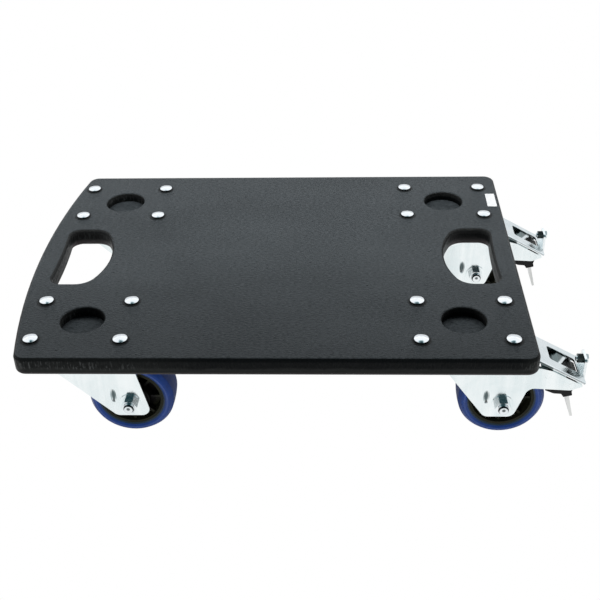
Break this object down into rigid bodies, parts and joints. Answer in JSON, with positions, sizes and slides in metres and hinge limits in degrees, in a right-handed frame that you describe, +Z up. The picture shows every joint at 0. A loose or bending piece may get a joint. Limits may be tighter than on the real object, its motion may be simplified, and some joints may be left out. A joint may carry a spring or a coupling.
{
  "type": "caster board",
  "caption": "Flat rectangular deck with a bowed end, hand holes and round foot recesses, rolling on swivel casters, the pair at the straight end with foot brakes.",
  "frame": {"origin": "centre of the bounding box at floor level, wheels standing on Z 0", "axes": "+X along the deck towards its straight, braked end; +Y across the deck; +Z up"},
  "size_m": [0.5249, 0.34, 0.1227],
  "materials": {
    "black_paint": "black textured paint on plywood",
    "bright_zinc": "bright zinc plate",
    "zinc": "blue zinc plate",
    "blue_rubber": "smooth elastic rubber, deep blue",
    "black_nylon": "moulded nylon, satin black",
    "bearing_steel": "ground bearing steel",
    "seal_plastic": "moulded seal",
    "black_lever": "satin black coating on cast steel",
    "dark_steel": "dark steel"
  },
  "bodies": {
    "board": {"deck": "black_paint", "carriage_bolts": "bright_zinc", "bolt_nuts": "zinc", "kingpins": "zinc", "race_caps": "zinc", "dust_rings": "seal_plastic", "upper_balls": "bearing_steel", "lower_balls": "bearing_steel", "caster_plate_front_left": "zinc", "caster_plate_front_right": "zinc", "caster_plate_back_left": "zinc", "caster_plate_back_right": "zinc"},
    "caster_front_left": {"fork_front_left": "zinc", "axle_bolt_front_left": "zinc", "axle_nut_front_left": "zinc", "axle_sleeve_front_left": "zinc"},
    "wheel_front_left": {"tyre_front_left": "blue_rubber", "rim_front_left": "black_nylon", "wheel_bearings_front_left": "bearing_steel"},
    "caster_front_right": {"fork_front_right": "zinc", "axle_bolt_front_right": "zinc", "axle_nut_front_right": "zinc", "axle_sleeve_front_right": "zinc", "plate_pin_front_right": "zinc", "pedal_pin_front_right": "zinc"},
    "wheel_front_right": {"tyre_front_right": "blue_rubber", "rim_front_right": "black_nylon", "wheel_bearings_front_right": "bearing_steel"},
    "pedal_front_right": {"brake_lever_front_right": "black_lever", "pedal_tread_front_right": "zinc"},
    "brake_front_right": {"brake_plate_front_right": "zinc", "adjusting_screw_front_right": "zinc", "lock_nut_front_right": "dark_steel"},
    "caster_back_left": {"fork_back_left": "zinc", "axle_bolt_back_left": "zinc", "axle_nut_back_left": "zinc", "axle_sleeve_back_left": "zinc"},
    "wheel_back_left": {"tyre_back_left": "blue_rubber", "rim_back_left": "black_nylon", "wheel_bearings_back_left": "bearing_steel"},
    "caster_back_right": {"fork_back_right": "zinc", "axle_bolt_back_right": "zinc", "axle_nut_back_right": "zinc", "axle_sleeve_back_right": "zinc", "plate_pin_back_right": "zinc", "pedal_pin_back_right": "zinc"},
    "wheel_back_right": {"tyre_back_right": "blue_rubber", "rim_back_right": "black_nylon", "wheel_bearings_back_right": "bearing_steel"},
    "pedal_back_right": {"brake_lever_back_right": "black_lever", "pedal_tread_back_right": "zinc"},
    "brake_back_right": {"brake_plate_back_right": "zinc", "adjusting_screw_back_right": "zinc", "lock_nut_back_right": "dark_steel"}
  },
  "joints": [
    {"name": "swivel_front_left", "type": "hinge", "parent": "board", "child": "caster_front_left", "pos_m": [-0.1965, -0.111, 0.086], "axis": [0, 0, 1], "continuous": true},
    {"name": "spin_front_left", "type": "hinge", "parent": "caster_front_left", "child": "wheel_front_left", "pos_m": [-0.1585, -0.111, 0.04], "axis": [0, 1, 0], "continuous": true},
    {"name": "swivel_front_right", "type": "hinge", "parent": "board", "child": "caster_front_right", "pos_m": [0.1475, -0.111, 0.086], "axis": [0, 0, 1], "continuous": true},
    {"name": "spin_front_right", "type": "hinge", "parent": "caster_front_right", "child": "wheel_front_right", "pos_m": [0.1855, -0.111, 0.04], "axis": [0, 1, 0], "continuous": true},
    {"name": "pedal_lift_front_right", "type": "hinge", "parent": "caster_front_right", "child": "pedal_front_right", "pos_m": [0.2465, -0.111, 0.0615], "axis": [0, -1, 0], "range_deg": [0, 30]},
    {"name": "plate_rock_front_right", "type": "hinge", "parent": "caster_front_right", "child": "brake_front_right", "pos_m": [0.2235, -0.111, 0.07332], "axis": [0, -1, 0], "range_deg": [0, 3]},
    {"name": "swivel_back_left", "type": "hinge", "parent": "board", "child": "caster_back_left", "pos_m": [-0.1965, 0.111, 0.086], "axis": [0, 0, 1], "continuous": true},
    {"name": "spin_back_left", "type": "hinge", "parent": "caster_back_left", "child": "wheel_back_left", "pos_m": [-0.1585, 0.111, 0.04], "axis": [0, 1, 0], "continuous": true},
    {"name": "swivel_back_right", "type": "hinge", "parent": "board", "child": "caster_back_right", "pos_m": [0.1475, 0.111, 0.086], "axis": [0, 0, 1], "continuous": true},
    {"name": "spin_back_right", "type": "hinge", "parent": "caster_back_right", "child": "wheel_back_right", "pos_m": [0.1855, 0.111, 0.04], "axis": [0, 1, 0], "continuous": true},
    {"name": "pedal_lift_back_right", "type": "hinge", "parent": "caster_back_right", "child": "pedal_back_right", "pos_m": [0.2465, 0.111, 0.0615], "axis": [0, -1, 0], "range_deg": [0, 30]},
    {"name": "plate_rock_back_right", "type": "hinge", "parent": "caster_back_right", "child": "brake_back_right", "pos_m": [0.2235, 0.111, 0.07332], "axis": [0, -1, 0], "range_deg": [0, 3]}
  ],
  "couplings": [
    {"joint": "plate_rock_front_right", "follows": "pedal_lift_front_right", "ratio": 0.1},
    {"joint": "plate_rock_back_right", "follows": "pedal_lift_back_right", "ratio": 0.1}
  ]
}
